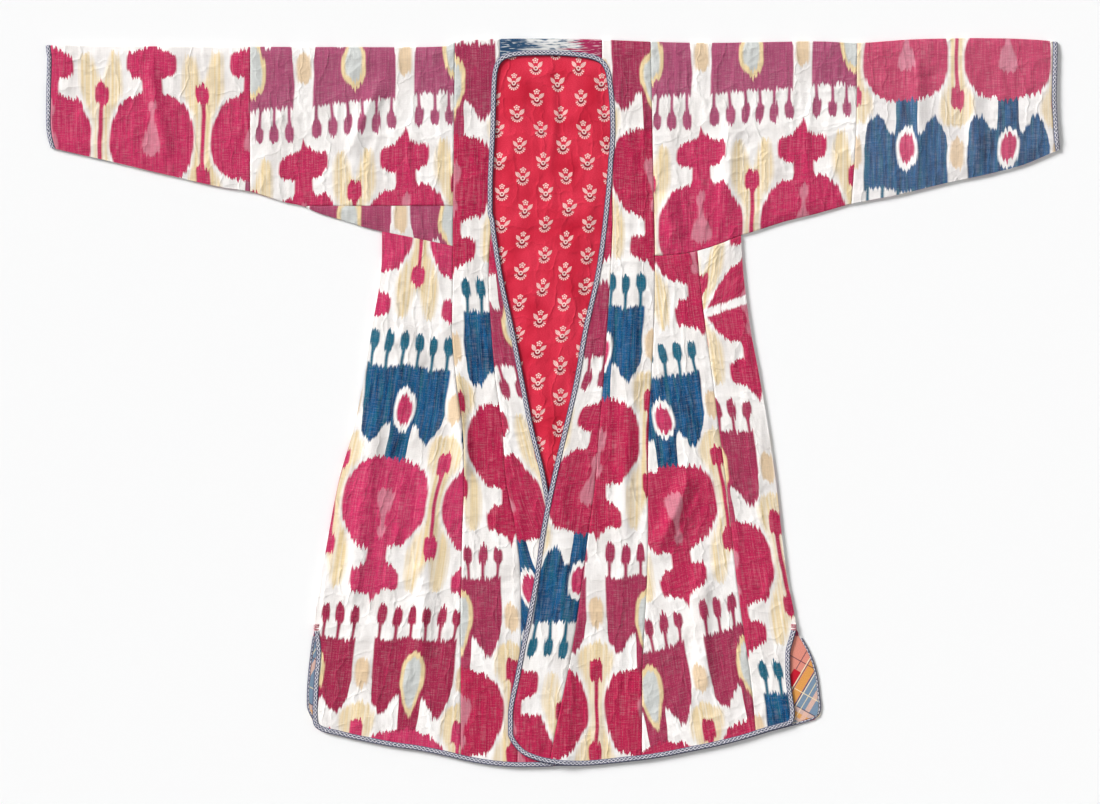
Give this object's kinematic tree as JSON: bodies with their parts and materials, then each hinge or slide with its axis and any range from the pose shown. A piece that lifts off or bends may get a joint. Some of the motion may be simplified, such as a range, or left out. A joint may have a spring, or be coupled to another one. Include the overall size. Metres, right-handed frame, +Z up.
{
  "type": "central asian ikat robe",
  "caption": "Long coat-like robe of ikat cloth laid flat, with straight sleeves, lapped fronts, a bound edge, a red lining in the neck and slit hems.",
  "frame": {"origin": "on the surface the robe lies on, under the middle of its box", "axes": "+X along the sleeves towards the viewer's right cuff, +Y from hem to collar, +Z up from the surface, through the back and then the fronts"},
  "size_m": [1.6232, 1.1656, 0.0113],
  "materials": {
    "ikat": "silk and cotton ikat in magenta, blue, yellow and white, with a slight sheen",
    "streaked_ikat": "pieced ikat with blue, white and mauve streaks",
    "red_lining": "matt printed cotton, red with a small sprig",
    "checked_facing": "matt cotton in pink, ochre and blue checks",
    "woven_trim": "matt grey-blue woven edging with a dark zigzag"
  },
  "bodies": {
    "root": {"back_centre": "ikat", "back_side_left": "ikat", "back_side_right": "ikat", "front_left": "ikat", "front_right": "ikat", "gore_left": "ikat", "gore_right": "ikat", "side_left": "ikat", "side_right": "ikat", "side_gore_right": "ikat", "neck_band": "streaked_ikat", "neck_lining": "red_lining", "facing_left": "checked_facing", "facing_right": "checked_facing", "sleeve_left": "ikat", "sleeve_right": "ikat", "forearm_left": "ikat", "forearm_right": "ikat", "underarm_left_front": "ikat", "underarm_left_back": "ikat", "trim_left": "woven_trim", "trim_neck": "woven_trim", "trim_right": "woven_trim", "trim_back": "woven_trim", "trim_cuff_left": "woven_trim", "trim_cuff_right": "woven_trim"}
  },
  "joints": []
}
